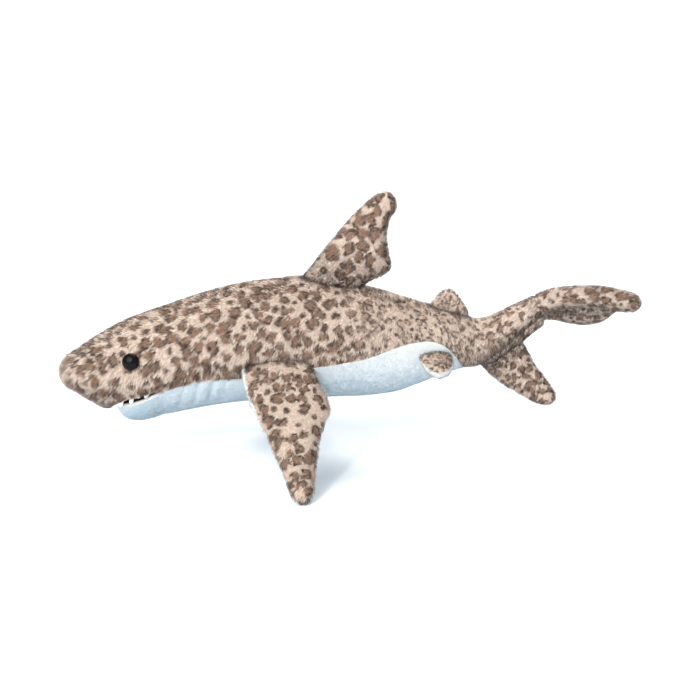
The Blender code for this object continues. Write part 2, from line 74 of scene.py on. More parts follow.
# Body: x, top, bottom, half width.
BODY = (
    (-219.0, 79.5, 79.5, 0.0), (-217.2, 86.0, 73.0, 6.5), (-213.5, 90.8, 67.8, 11.5),
    (-206.5, 95.4, 63.8, 16.0), (-196.5, 102.5, 57.5, 22.5), (-186.0, 109.0, 52.2, 27.0),
    (-176.5, 114.6, 50.4, 29.8), (-166.0, 119.8, 46.5, 32.0), (-148.5, 126.3, 45.0, 35.2),
    (-124.5, 134.8, 49.2, 38.0), (-100.5, 142.5, 53.9, 40.0), (-76.5, 147.9, 56.9, 41.0),
    (-52.5, 151.0, 58.6, 41.0), (-34.5, 152.5, 59.3, 40.5), (-10.5, 148.7, 60.1, 38.5),
    (19.5, 143.3, 61.5, 34.0), (37.5, 138.0, 64.6, 30.0), (55.5, 132.8, 71.4, 25.0),
    (73.5, 128.2, 78.6, 20.0), (85.5, 124.2, 81.8, 17.0),
)
# Tail tube: x, height, half height, half width, slope in degrees.
TAIL = (
    (97.0, 102.4, 18.4, 14.6, 8.0), (108.0, 107.6, 16.0, 13.4, 28.0),
    (118.0, 114.6, 13.2, 12.0, 36.0), (127.9, 121.8, 11.3, 10.8, 35.0),
    (139.0, 129.0, 9.4, 9.4, 29.0), (150.0, 134.0, 8.4, 8.8, 18.0),
)
# Lower edge of the leopard cloth: x, height. It is the lip in front of the mouth's corner.
SEAM = (
    (-182, 41), (-179.5, 48.5), (-176, 56), (-171, 60.8), (-160, 65.5), (-148, 70), (-138, 73.5),
    (-112, 82), (-79, 84.5), (-45, 90), (-15, 94.5), (12, 99), (37, 107), (52, 109.5), (66, 107.5),
    (77, 98.5), (84.5, 85), (88.5, 74),
)
# Lower jaw: x, lip height, bottom, half width.
JAW = (
    (-175.2, 54.0, 53.0, 0.5), (-174.6, 55.4, 50.0, 8.0), (-172.5, 56.6, 46.6, 15.0),
    (-168.5, 58.2, 43.4, 21.5), (-162.0, 60.8, 41.8, 26.5), (-155.0, 63.8, 42.2, 30.0),
    (-148.0, 67.2, 43.8, 32.4), (-138.0, 72.6, 47.0, 35.6),
)
JAW_BACK_X = -138.0
# The roll between the tail's tube and the lower lobe: x, y, height, radius.
TAIL_ROLL = (
    (97, -1, 88, 5.5), (108, -2, 94.5, 6), (122, -1, 105, 6), (135, 1, 115, 5.5), (147, 3, 121, 4),
)
# The upper lobe's tube: x, y, height, radius.
LOBE_TUBE = (
    (136, 0, 127, 7.0), (143, 0, 131, 7.6), (150, 0, 134, 7.7), (158, 0, 135.8, 7.5),
    (165, -0.5, 136.8, 7.3), (176, -0.5, 137, 7.5), (187.5, -0.5, 136.4, 7.7), (203.3, 0, 133.5, 7.3),
    (212.3, 0, 132, 6.2), (219, 0, 131.2, 4),
)
# The thin part that hangs behind that tube: x, height where it starts, width.
LOBE_WEB = (
    (141, 122, 5), (146, 126, 12), (152, 129.5, 19), (165, 131, 27), (182, 131, 30), (190, 130, 24),
    (197, 129, 12), (202, 128.6, 4),
)
LOBE_WEB_TILT = math.radians(47)
# The dorsal fin's outline: x, height.
DORSAL_OUTLINE = (
    (-36, 150), (-33, 155), (-27.5, 161.5), (-21.5, 170), (-14.5, 179), (-6, 189.3), (3.2, 200.3),
    (12, 209), (19.5, 214.8), (26, 217.2), (31.5, 215.6), (34.6, 209.5), (33.8, 203.2), (30.6, 198),
    (28.7, 190.5), (28.0, 183), (28.6, 175.5), (29.8, 167), (30.6, 161.5), (29.2, 156.8), (23.5, 153.2),
    (16.5, 150.2), (11.5, 147.5), (7, 143), (3, 136), (-14, 138), (-30, 141),
)
DORSAL_THICK = 6.6
DORSAL_ROOT_HEIGHT = 150

# How the tail tube's end closes inside the upper lobe: steps along, up and the size left.
BACK_CAP = ((2.0, 0.6, 0.85), (3.2, 1.0, 0.5), (3.6, 1.1, 0.0))

# Teeth on a side: place from the strip's middle towards the tail, width, length.
TEETH = ((-10.6, 4.2, 6.4), (-2.3, 3.6, 7.0), (3.6, 3.4, 3.6), (9.2, 4.0, 5.6))

# Upright folds in the white cloth of the throat: x, depth, width.
CREASES = ((-127, 0.7, 2.6), (-117, 0.9, 2.2), (-106, 1.3, 2.4), (-97, 0.6, 3.0))

# How far each skin lies inside its table's surface, to leave room for the pile.
PILE_DEPTH = 1.9
PLUSH_DEPTH = 1.0
# Stations along the body: close together round the nose, then a step apart. The first steps
# between the table's rows count along x alone.
NOSE_STEPS = 6
NOSE_STATIONS = (0.0, 0.35, 0.9, 1.8, 3.0, 4.6)
FIRST_ROW = 6.6
ROW_STEP = 2.6
LIP_TUCK = 0.4
SEAM_TUCK = 3.0
BACK_COLUMNS = 60
BELLY_COLUMNS = 30
WELD = 0.05
CLOTH = {
    "quality": 4, "mass": 0.25, "tension_stiffness": 12.0, "compression_stiffness": 12.0,
    "bending_stiffness": 0.6, "use_pressure": True, "vertex_group_mass": "pin",
}
CLOTH_STEPS = 20

# Which way the pile lies.
FLOW = (-0.55, 0.0, -0.85)
DORSAL_FLOW = (-0.75, 0.0, -0.65)
BELLY_FLOW = (-0.8, 0, -0.25)


# Tables and curves ----------------


def curve(rows, column, at, key=0):
    """Reads a table's column at some values of its key column, along a smooth curve."""
    table = np.array(rows, float)
    x, y = table[:, key], table[:, column]
    slope = np.gradient(y, x)
    i = np.clip(np.searchsorted(x, at) - 1, 0, len(x) - 2)
    width = x[i + 1] - x[i]
    t = np.clip((at - x[i]) / width, 0, 1)
    start = (2 * t**3 - 3 * t**2 + 1) * y[i] + (t**3 - 2 * t**2 + t) * slope[i] * width
    return start + (3 * t**2 - 2 * t**3) * y[i + 1] + (t**3 - t**2) * slope[i + 1] * width


def seam_height(x):
    return curve(SEAM, 1, np.clip(x, SEAM[0][0], SEAM[-1][0]))


def metres(x, y, z):
    """Points in metres above the floor from the tables' millimetres."""
    return np.stack(np.broadcast_arrays(x, y, np.asarray(z) - BASE), -1) * MM


def unit(v):
    return v / np.maximum(np.linalg.norm(v, axis=-1, keepdims=True), 1e-12)


def ramp(value, low, high):
    """0 below low, 1 above high, smooth between."""
    t = np.clip((value - low) / (high - low), 0, 1)
    return t * t * (3 - 2 * t)


def waves(points, scale, seed):
    """Smooth pseudo-random values of about -1 to 1, with features of about the scale in metres."""
    rng = np.random.default_rng(seed)
    total = np.zeros(len(points))
    for _ in range(7):
        direction = unit(rng.normal(size=3)) * rng.uniform(0.7, 1.5)
        total += np.sin(points @ direction * (2 * math.pi / scale) + rng.uniform(0, 2 * math.pi))
    return total / 3.2


def waves_3d(points, scale, seed):
    """Smooth pseudo-random vectors, as waves does for single values."""
    return np.stack([waves(points, scale, seed + i) for i in range(3)], 1)


def nearest_of(places, points):
    """Which of the places is nearest to each point."""
    tree = KDTree(len(places))
    for i, place in enumerate(places):
        tree.insert(place, i)
    tree.balance()
    return np.array([tree.find(point)[1] for point in points])


# Meshes ----------------


def linked(name, data):
    obj = bpy.data.objects.new(name, data)
    bpy.context.scene.collection.objects.link(obj)
    return obj


@contextlib.contextmanager
def editing(mesh):
    bm = bmesh.new()
    bm.from_mesh(mesh)
    yield bm
    bm.to_mesh(mesh)
    bm.free()


def mesh_piece(name, verts, faces):
    mesh = bpy.data.meshes.new(name)
    mesh.from_pydata([tuple(v) for v in verts], [], [tuple(f) for f in faces])
    mesh.update()
    obj = linked(name, mesh)
    mesh.shade_smooth()
    return obj


def grid_faces(rows, columns):
    index = np.arange(rows * columns).reshape(rows, columns)
    a, b = index[:-1, :-1], index[:-1, 1:]
    c, d = index[1:, 1:], index[1:, :-1]
    return np.stack([a, b, c, d], -1).reshape(-1, 4)


def grid_piece(name, points):
    """A surface through a grid of points, with points that fall together welded."""
    obj = mesh_piece(name, points.reshape(-1, 3), grid_faces(*points.shape[:2]))
    with editing(obj.data) as bm:
        bmesh.ops.remove_doubles(bm, verts=bm.verts, dist=WELD * MM)
    return obj


def mesh_coords(mesh):
    out = np.zeros(len(mesh.vertices) * 3)
    mesh.vertices.foreach_get("co", out)
    return out.reshape(-1, 3)


def coords(obj):
    return mesh_coords(obj.data)


def set_coords(obj, points):
    obj.data.vertices.foreach_set("co", np.ascontiguousarray(points, float).ravel())
    obj.data.update()


def swell(obj, by):
    set_coords(obj, coords(obj) + normals(obj) * by * MM)


def normals(obj):
    out = np.zeros(len(obj.data.vertices) * 3, np.float32)
    obj.data.vertex_normals.foreach_get("vector", out)
    return out.reshape(-1, 3).astype(float)


def evaluated(obj):
    """A new mesh: what the object's modifiers make of its own."""
    depsgraph = bpy.context.evaluated_depsgraph_get()
    return bpy.data.meshes.new_from_object(obj.evaluated_get(depsgraph))


def modified(obj, kind, **settings):
    """Changes the object's mesh with a modifier."""
    step = obj.modifiers.new(kind.lower(), kind)
    for key, value in settings.items():
        setattr(step, key, value)
    mesh = evaluated(obj)
    obj.modifiers.clear()
    old = obj.data
    obj.data = mesh
    mesh.name = obj.name
    bpy.data.meshes.remove(old)
    mesh.shade_smooth()


def face_outward(obj, centre=None):
    """Turns the faces so that most of them look away from a point, or from the middle."""
    points, out = coords(obj), normals(obj)
    centre = points.mean(0) if centre is None else centre
    if ((points - centre) * out).sum() < 0:
        obj.data.flip_normals()


def inflate(obj, pinned, cap, pressure=4.0):
    """Fills the form out like sewn cloth over stuffing. No point moves further than the cap."""
    rest = coords(obj)
    group = obj.vertex_groups.new(name="pin")
    group.add(np.nonzero(pinned)[0].tolist(), 1.0, "REPLACE")
    cloth = obj.modifiers.new("cloth", "CLOTH")
    for key, value in CLOTH.items():
        setattr(cloth.settings, key, value)
    cloth.settings.uniform_pressure_force = pressure
    cloth.settings.effector_weights.gravity = 0
    cloth.collision_settings.use_collision = False
    cloth.point_cache.frame_start = 1
    cloth.point_cache.frame_end = CLOTH_STEPS
    for step in range(1, CLOTH_STEPS + 1):
        bpy.context.scene.frame_set(step)
    mesh = evaluated(obj)
    move = mesh_coords(mesh) - rest
    bpy.data.meshes.remove(mesh)
    obj.modifiers.clear()
    obj.vertex_groups.clear()
    bpy.context.scene.frame_set(1)
    far = np.linalg.norm(move, axis=1, keepdims=True)
    move *= cap / np.maximum(far, cap)
    set_coords(obj, rest + move)


# Sewn forms ----------------


def spine_rows():
    """Body and tail stations along the shark: x, height, half height, half width, slope."""
    rows = [(x, (top + low) / 2, (top - low) / 2, wide, 0.0) for x, top, low, wide in BODY]
    rows += list(TAIL)
    table = np.array(rows)
    steps = np.hypot(np.diff(table[:, 0]), np.diff(table[:, 1]))
    steps[:NOSE_STEPS] = np.diff(table[: NOSE_STEPS + 1, 0])
    along = np.sqrt(np.concatenate([[0], np.cumsum(steps)]))
    keyed = np.column_stack([along, table])
    length = along[-1] ** 2
    even = np.linspace(FIRST_ROW, length, int((length - FIRST_ROW) / ROW_STEP))
    s = np.sqrt(np.concatenate([NOSE_STATIONS, even]))
    return [curve(keyed, column, s) for column in range(1, 6)]


def section(row, angle):
    """Points on cross-sections; the angle is from the top, growing towards the left side."""
    x, z, high, wide, slope = (value[:, None] for value in row)
    up, side = high * np.cos(angle), wide * np.sin(angle)
    lean = np.radians(slope)
    return metres(x - up * np.sin(lean), -side, z + up * np.cos(lean))


def eye_place(node):
    """The CAD eye's middle on its flat back, its outward axis, its radius and its height."""
    points = coords(frame["nodes"][node])
    middle = points.mean(0)
    values, vectors = np.linalg.eigh(np.cov((points - middle).T))
    gaps = np.abs(values[:, None] - values[None, :]).sum(1)
    axis = vectors[:, int(np.argmax(gaps))]
    along = (points - middle) @ axis
    across = points - middle - along[:, None] * axis
    radius = np.linalg.norm(across, axis=1)
    rim = along[radius > radius.max() * 0.99].mean()
    if abs(along.max() - rim) > abs(along.min() - rim):
        axis, rim, along = -axis, -rim, -along
    return middle + axis * rim, axis, radius.max(), along.max() - rim


def press_in(obj, place, axis, reach, depth):
    """Dents a form round a point, as an eye or a stitch pulls its cloth in."""
    points = coords(obj)
    far = np.linalg.norm(points - place, axis=1)
    set_coords(obj, points - axis * (depth * np.exp(-((far / reach) ** 2)))[:, None])


def make_back():
    """The leopard cloth of head, back and tail tube, open along its lower edge."""
    row = spine_rows()
    x, z, high, wide, slope = row
    edge = np.where((x < SEAM[0][0]) | (x > SEAM[-1][0]), -999, seam_height(x))
    reach = np.arccos(np.clip((edge - z) / np.maximum(high, 0.1), -1, 1))
    tuck = (LIP_TUCK + (SEAM_TUCK - LIP_TUCK) * ramp(x, -140, -132)) / np.maximum(high, 4)
    reach = np.minimum(reach + tuck, math.pi)
    share = np.linspace(-1, 1, BACK_COLUMNS + 1)[None, :]
    cap = [[x[-1] + dx, z[-1] + dz, high[-1] * k, wide[-1] * k, slope[-1]] for dx, dz, k in BACK_CAP]
    row = np.concatenate([np.array(row), np.array(cap).T], 1)
    reach = np.concatenate([reach, np.full(len(cap), math.pi)])
    obj = grid_piece("back_skin", section(row, reach[:, None] * share))
    face_outward(obj)
    return obj


def make_core():
    """The whole trunk and tail as one closed form, to tell what lies inside the cloth."""
    row = np.array(spine_rows())
    row[2:4] = np.maximum(row[2:4] - PILE_DEPTH, 0)
    share = np.linspace(-math.pi, math.pi, 41)[None, :]
    obj = grid_piece("core", section(row, share))
    face_outward(obj)
    tree = solid_of(obj)
    bpy.data.objects.remove(obj)
    return tree


def solid_of(obj):
    return BVHTree.FromPolygons([v.co for v in obj.data.vertices], [p.vertices for p in obj.data.polygons])


def make_white():
    """The white cloth of the lower jaw and the belly in one piece."""
    table = np.array(JAW)
    jaw_x = np.concatenate([[-175.2, -174.9], np.arange(-174.3, JAW_BACK_X, 1.9)])
    jaw = [curve(JAW, column, jaw_x) for column in (1, 2, 3)]
    row = np.array(spine_rows())
    keep = (row[0] > JAW_BACK_X + 1) & (row[0] < SEAM[-1][0] - 0.5)
    x, z, high, wide, _ = row[:, keep]
    edge = curve(SEAM, 1, x)
    all_x = np.concatenate([jaw_x, x])
    middle_jaw = np.maximum(curve(((-180, 62), (-165, 66), (JAW_BACK_X, 88.3)), 1, jaw_x), jaw[0] + 1.5)
    low = np.concatenate([jaw[1], z - high])
    middle = np.concatenate([middle_jaw, z])
    wide = np.concatenate([jaw[2], wide])
    edge = np.concatenate([jaw[0], edge])
    high = np.maximum(middle - low, 0.5)
    reach = np.arccos(np.clip((edge - middle) / high, -1, 1))
    grow = np.concatenate([1 / np.maximum(np.sin(reach[: len(jaw_x)]), 0.5), np.ones(len(x))])
    blend = ramp(all_x, -150, JAW_BACK_X)
    wide = wide * np.where(all_x < JAW_BACK_X, grow * (1 - blend) + blend, 1)
    row = [all_x, middle, high, wide, np.zeros(len(all_x))]
    share = np.linspace(0, 1, BELLY_COLUMNS + 1)[None, :]
    angle = reach[:, None] * (1 - share) + (2 * math.pi - reach[:, None]) * share
    points = section(row, angle)
    rolled = []
    for inset in (3.4, 1.6):
        small = [all_x, middle, np.maximum(high - inset, 0.1), np.maximum(wide - inset, 0.1), row[4]]
        tucked = np.where(all_x < JAW_BACK_X, 0.0, 0.02)[:, None]
        ends = np.concatenate([reach[:, None] + tucked, 2 * math.pi - reach[:, None] - tucked], 1)
        rolled.append(section(small, ends))
    inner, outer = rolled
    grid = np.concatenate([inner[:, :1], outer[:, :1], points, outer[:, 1:], inner[:, 1:]], 1)
    obj = grid_piece("belly_skin", grid)
    face_outward(obj, coords(obj).mean(0) + np.array([0, 0, 30 * MM]))
    return obj


def tube(name, rows, sides=20, spacing=2.2):
    """A closed tube along a smooth line of x, y, height and radius, with round ends."""
    x = np.arange(rows[0][0], rows[-1][0], spacing)
    line = metres(x, curve(rows, 1, x), curve(rows, 2, x))
    radius = curve(rows, 3, x) * MM
    ends = np.minimum(np.arange(len(x)), np.arange(len(x))[::-1]) * spacing * MM
    radius = np.sqrt(np.clip(1 - (1 - np.clip(ends / radius, 0, 1)) ** 2, 0, 1)) * radius + 0.02 * MM
    along = unit(np.gradient(line, axis=0))
    side = unit(np.cross(along, [0, 0, 1.0]))
    up = np.cross(side, along)
    angle = np.linspace(0, 2 * math.pi, sides + 1)[None, :, None]
    ring = side[:, None] * np.cos(angle) + up[:, None] * np.sin(angle)
    obj = grid_piece(name, line[:, None] + ring * radius[:, None, None])
    face_outward(obj)
    return obj


def remeshed(name, sources, voxel, smooth=8):
    """One closed form round some meshes: what a sewn case would be before it is filled."""
    bm = bmesh.new()
    for mesh in sources:
        bm.from_mesh(mesh)
    bmesh.ops.remove_doubles(bm, verts=bm.verts, dist=0.002 * MM)
    mesh = bpy.data.meshes.new(name)
    bm.to_mesh(mesh)
    bm.free()
    obj = linked(name, mesh)
    modified(obj, "REMESH", mode="VOXEL", voxel_size=voxel * MM)
    modified(obj, "SMOOTH", iterations=smooth)
    keep_largest(obj)
    return obj


def keep_largest(obj):
    """Deletes all but the largest connected part."""
    with editing(obj.data) as bm:
        left, best = set(bm.verts), []
        while left:
            island, edge = [], [next(iter(left))]
            left.discard(edge[0])
            while edge:
                vert = edge.pop()
                island.append(vert)
                for link in vert.link_edges:
                    other = link.other_vert(vert)
                    if other in left:
                        left.discard(other)
                        edge.append(other)
            best = max(best, island, key=len)
        kept = set(best)
        bmesh.ops.delete(bm, geom=[v for v in bm.verts if v not in kept], context="VERTS")


def root_of(body):
    """A fin's hinge: a point on it, its axis and the direction out along the fin."""
    joint = JOINTS[body]
    pivot, axis = np.array(joint["pos_m"]), unit(np.array(joint["axis"], float))
    points = np.concatenate([coords(frame["nodes"][node]) for node in BODIES[body]])
    out = points.mean(0) - pivot
    out = unit(out - axis * (out @ axis))
    return pivot, axis, out


def make_fin(name, body, reach, voxel=1.7, grow_by=0.8, widen=0.0):
    """A fin's case from its CAD solids, drawn out at the root so that it enters the body.

    The root may be widened along the hinge, by a share that fades out along the fin.
    """
    obj = remeshed(name, [frame["nodes"][node].data for node in BODIES[body]], voxel)
    pivot, axis, out = root_of(body)
    swell(obj, grow_by)
    along = (coords(obj) - pivot) @ out
    inflate(obj, along < 2 * MM, 1.8 * MM, pressure=5.0)
    points = coords(obj)
    along = (points - pivot) @ out
    start = 5 * MM
    stretch = np.clip(start - along, 0, None) * reach / 12
    offset = (points - points[along < start].mean(0)) @ axis
    wider = offset * widen * (1 - ramp(along, 8 * MM, 44 * MM))
    set_coords(obj, points - out * stretch[:, None] + axis * wider[:, None])
    modified(obj, "SUBSURF", levels=1)
    return obj


def make_dorsal(name):
    """The dorsal fin's case, cut to its outline and filled."""
    outline = np.array(DORSAL_OUTLINE, float)
    count = len(outline)
    verts = np.concatenate([metres(outline[:, 0], side, outline[:, 1]) for side in (-1.6, 1.6)])
    faces = [tuple(range(count)), tuple(range(2 * count - 1, count - 1, -1))]
    faces += [(i, i + count, (i + 1) % count + count, (i + 1) % count) for i in range(count)]
    flat = mesh_piece("flat", verts, faces)
    face_outward(flat)
    obj = remeshed(name, [flat.data], 1.3, 4)
    bpy.data.objects.remove(flat)
    points = coords(obj)
    a, b = outline, np.roll(outline, -1, 0)
    place = np.stack([points[:, 0] / MM, points[:, 2] / MM + BASE], 1)
    step = (b - a)[None]
    t = np.clip(((place[:, None] - a[None]) * step).sum(-1) / (step**2).sum(-1), 0, 1)
    inside = np.linalg.norm(place[:, None] - a[None] - step * t[..., None], axis=-1).min(1)
    fill = np.sqrt(np.clip(1 - (1 - np.clip(inside / 15, 0, 1)) ** 2, 0, 1)) * DORSAL_THICK
    points[:, 1] += np.tanh(points[:, 1] / (0.6 * MM)) * (fill - 1.0) * MM
    set_coords(obj, points)
    modified(obj, "SMOOTH", iterations=6)
    inflate(obj, points[:, 2] < (DORSAL_ROOT_HEIGHT - BASE) * MM, 1.2 * MM)
    modified(obj, "SUBSURF", levels=1)
    return obj


def make_web():
    """The upper lobe's thin trailing part, a flat lens in section."""
    x = np.linspace(LOBE_WEB[0][0], LOBE_WEB[-1][0], 34)
    start, chord = curve(LOBE_WEB, 1, x), np.maximum(curve(LOBE_WEB, 2, x), 0.2)
    ends = ramp(np.minimum(x - x[0], x[-1] - x), -1, 8)
    share = np.concatenate([np.linspace(0, 1, 16), np.linspace(1, 0, 16)[1:]])[None, :]
    side = np.concatenate([np.ones(16), -np.ones(15)])[None, :]
    lens = np.sqrt(np.clip(1 - np.clip((share - 0.55) / 0.45, 0, 1) ** 2, 0, 1))
    thick = 2.3 * ends[:, None] * lens + 0.02
    across, drop = math.cos(LOBE_WEB_TILT), math.sin(LOBE_WEB_TILT)
    y = 2.5 + chord[:, None] * share * across + side * thick * -drop
    z = start[:, None] - chord[:, None] * share * drop + side * thick * -across
    obj = grid_piece("upper_web_skin", metres(x[:, None], y, z))
    face_outward(obj)
    inflate(obj, coords(obj)[:, 0] < (LOBE_WEB[0][0] + 6) * MM, 1.0 * MM)
    modified(obj, "SUBSURF", levels=1)
    return obj


def split(obj, name, place, direction):
    """Cuts a form with a plane. The side that the direction points to becomes a new piece."""
    made = []
    for side, title in ((1, name), (-1, obj.name)):
        bm = bmesh.new()
        bm.from_mesh(obj.data)
        whole = bm.verts[:] + bm.edges[:] + bm.faces[:]
        bmesh.ops.bisect_plane(bm, geom=whole, plane_co=place, plane_no=direction * side, clear_inner=True)
        mesh = bpy.data.meshes.new(title)
        bm.to_mesh(mesh)
        bm.free()
        mesh.shade_smooth()
        for look in obj.data.materials:
            mesh.materials.append(look)
        made.append(mesh)
    other = linked(name, made[0])
    obj.data = made[1]
    return other


# Leopard print ----------------


def surface(obj):
    """A form's triangles: corners, areas and corner normals."""
    mesh = obj.data
    mesh.calc_loop_triangles()
    triangles = np.zeros(len(mesh.loop_triangles) * 3, np.int32)
    mesh.loop_triangles.foreach_get("vertices", triangles)
    triangles = triangles.reshape(-1, 3)
    corners = coords(obj)[triangles]
    area = np.linalg.norm(np.cross(corners[:, 1] - corners[:, 0], corners[:, 2] - corners[:, 0]), axis=1)
    return corners, area / 2, normals(obj)[triangles]


def scatter(obj, count, rng):
    """Random places spread evenly over a form: points and normals."""
    corners, area, out = surface(obj)
    pick = rng.choice(len(area), count, p=area / area.sum())
    a, b = rng.random((2, count, 1))
    flip = a + b > 1
    a, b = np.where(flip, 1 - a, a), np.where(flip, 1 - b, b)
    weights = np.stack([1 - a - b, a, b], 1)
    return (corners[pick] * weights).sum(1), unit((out[pick] * weights).sum(1))


def spot_size(points):
    """Rosette spacing: wide on head, front and pectoral fins, small towards the tail."""
    x = points[:, 0]
    size = 8.8 - 3.4 * ramp(x, -0.02, 0.045) + 1.2 * ramp(x, 0.09, 0.16)
    size = size + 3.2 * ramp(points[:, 2], 0.142, 0.156)
    size = np.where(np.abs(points[:, 1]) > 0.045, 8.4, size)
    return size * MM


# Side of the cells in which a rosette's neighbours are looked up, about the widest spacing.
ROSETTE_CELL = 12


def rosettes(forms, rng):
    """Rosette middles, spread so that they keep apart, and their sizes."""
    found, sizes = [], []
    cells = {}
    for obj in forms:
        points, _ = scatter(obj, 30000 if obj.name == "back_skin" else 6000, rng)
        spacing = spot_size(points) * rng.uniform(0.8, 1.25, len(points))
        for point, gap in zip(points, spacing):
            i, j, k = (point // (ROSETTE_CELL * MM)).astype(int).tolist()
            around = itertools.product((i - 1, i, i + 1), (j - 1, j, j + 1), (k - 1, k, k + 1))
            offsets = (point - found[other] for cell in around for other in cells.get(cell, ()))
            if not any(np.dot(offset, offset) < gap**2 for offset in offsets):
                cells.setdefault((i, j, k), []).append(len(found))
                found.append(point)
                sizes.append(gap)
    return np.array(found), np.array(sizes)


class Print:
    """The leopard print: broken dark rings round taupe middles on cream."""

    def __init__(self, forms):
        rng = np.random.default_rng(5)
        self.places, self.sizes = rosettes(forms, rng)
        self.phase = rng.uniform(0, 2 * math.pi, (len(self.places), 4))
        self.kind = rng.random(len(self.places))
        self.tilt = unit(rng.normal(size=(len(self.places), 3)))

    def read(self, points):
        """How dark and how taupe the cloth is at some points, 0 to 1 each."""
        moved = points + waves_3d(points, 8 * MM, 1) * 0.9 * MM
        nearest = nearest_of(self.places, moved)
        offset = moved - self.places[nearest]
        size = self.sizes[nearest]
        radius = np.linalg.norm(offset, axis=1) / size
        axis = self.tilt[nearest]
        u = unit(np.cross(axis, [0.2, 0.9, 0.1]))
        v = np.cross(axis, u)
        angle = np.arctan2((offset * v).sum(1), (offset * u).sum(1))
        phase = self.phase[nearest]
        rim = 0.43 + 0.09 * np.sin(2 * angle + phase[:, 0]) + 0.05 * np.sin(3 * angle + phase[:, 1])
        band = 0.165 + 0.07 * np.sin(2 * angle + phase[:, 2])
        ring = 1 - ramp(np.abs(radius - rim), band * 0.75, band * 1.2)
        gaps = ramp(np.sin(angle + phase[:, 3]) + 0.7 * np.sin(3 * angle + phase[:, 1]), -0.8, -0.4)
        solid = 1 - ramp(radius, 0.26, 0.36)
        small = self.kind[nearest] < 0.18
        dark = np.where(small, solid, ring * gaps)
        taupe = np.where(small, 0, 1 - ramp(radius, rim * 0.95, rim * 1.1))
        dark = dark * (0.75 + 0.25 * np.clip(0.5 + waves(points, 3.5 * MM, 9), 0, 1))
        nose = ramp(-points[:, 0], 0.204, 0.216)
        rear = ramp(points[:, 0], -0.015, 0.03) * (1 - ramp(points[:, 0], 0.09, 0.12))
        rear = rear * (1 - ramp(points[:, 2], 0.142, 0.15))
        dark = dark * (1 - 0.6 * nose) * (1 - 0.1 * rear)
        return dark, taupe * (1 - dark) * (1 - 0.3 * nose) * (1 - 0.65 * rear)


# Pile ----------------

# A ray this way from inside a closed form meets the form's inner side first.
PROBE = Vector((0.23, 0.31, 0.92)).normalized()

# A strand is two corners at its root, two higher up and its tip, in three triangles.
STRAND_HEIGHTS = (0.0, 0.0, 0.55, 0.55, 1.0)
STRAND_FACES = ((0, 1, 2), (0, 2, 3), (3, 2, 4))
STRAND_UV = ((0, 0), (1, 0), (1, 0.5), (0, 0), (1, 0.5), (0, 0.5), (0, 0.5), (1, 0.5), (0.5, 1))
STRAND_VERTS = len(STRAND_HEIGHTS)
STRAND_LOOPS = len(STRAND_UV)
ROOT_DEPTH = 0.4
TUFT_STRANDS = 14
LEAN_SPREAD = 7
FLOOR_GAP = 0.3


def set_attribute(mesh, name, values):
    attribute = mesh.attributes.new(name, "FLOAT", "POINT")
    attribute.data.foreach_set("value", np.ascontiguousarray(values, np.float32))


def bake_cells(mesh):
    """A UV layer that gives each strand a small cell of its own."""
    count = len(mesh.loops) // STRAND_LOOPS
    side = int(math.ceil(math.sqrt(count)))
    cell = np.arange(count)
    base = np.stack([cell % side, cell // side], 1) / side
    uv = base[:, None, :] + (0.2 + 0.6 * np.array(STRAND_UV))[None] / side
    layer = mesh.uv_layers.new(name="OFBake")
    layer.data.foreach_set("uv", np.ascontiguousarray(uv, np.float32).ravel())


